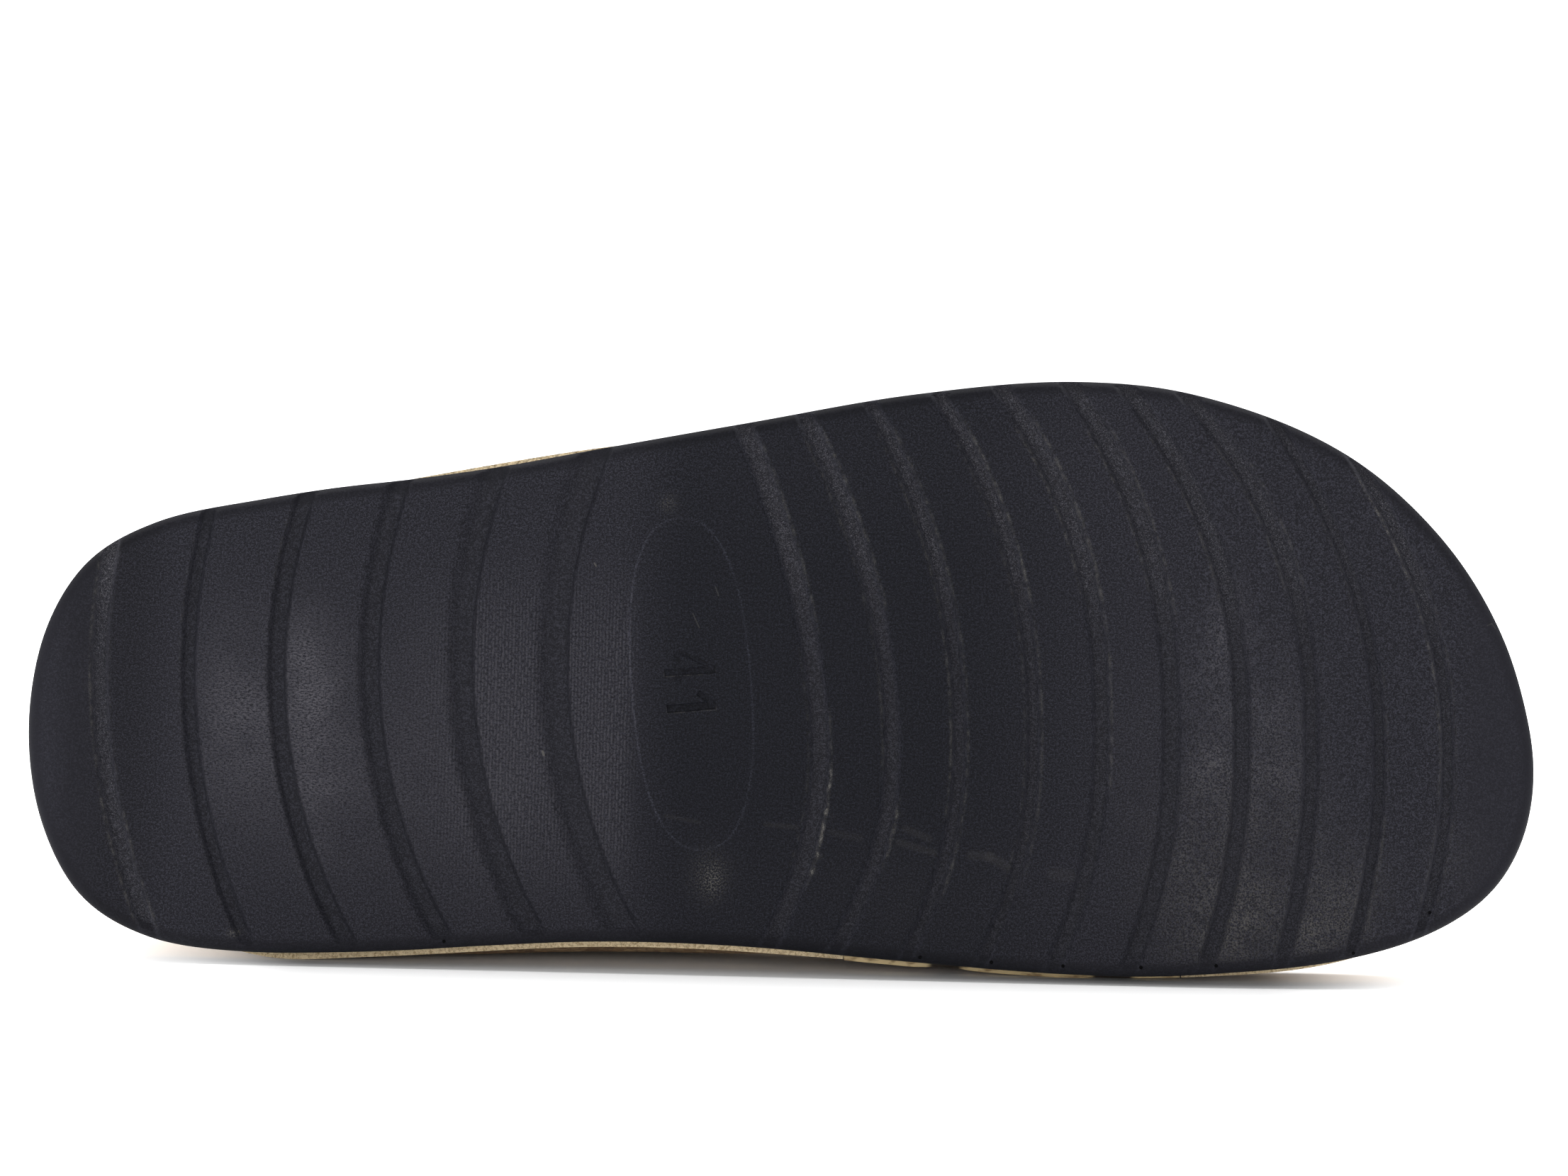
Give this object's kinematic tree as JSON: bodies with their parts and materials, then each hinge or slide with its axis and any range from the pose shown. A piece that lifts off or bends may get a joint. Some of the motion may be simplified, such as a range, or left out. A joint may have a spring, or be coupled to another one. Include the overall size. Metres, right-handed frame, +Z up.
{
  "type": "buckle slide sandal",
  "caption": "Slide sandal lying on its inner side: grooved foam outsole, moulded cork footbed with suede lining, and one wide leather strap closed by a metal buckle.",
  "frame": {"origin": "on the floor, under the middle of the box around the lying sandal", "axes": "+X from heel to toe, -Y the way the tread faces, +Z up, from the inner side of the sole to its outer side"},
  "size_m": [0.276, 0.0838, 0.1092],
  "materials": {
    "outsole_foam": "matt closed-cell foam with a fine grain, dusty and worn grey at heel and ball",
    "cork": "pressed cork granules under a thin sealer",
    "suede": "brushed suede with a short nap",
    "strap_leather": "oiled tan leather, lightly creased",
    "buckle_metal": "aged brass, satin"
  },
  "bodies": {
    "root": {"outsole": "outsole_foam", "footbed": "cork", "insole": "suede", "upper": "strap_leather", "buckle_frame": "buckle_metal", "buckle_prong": "buckle_metal"}
  },
  "joints": []
}
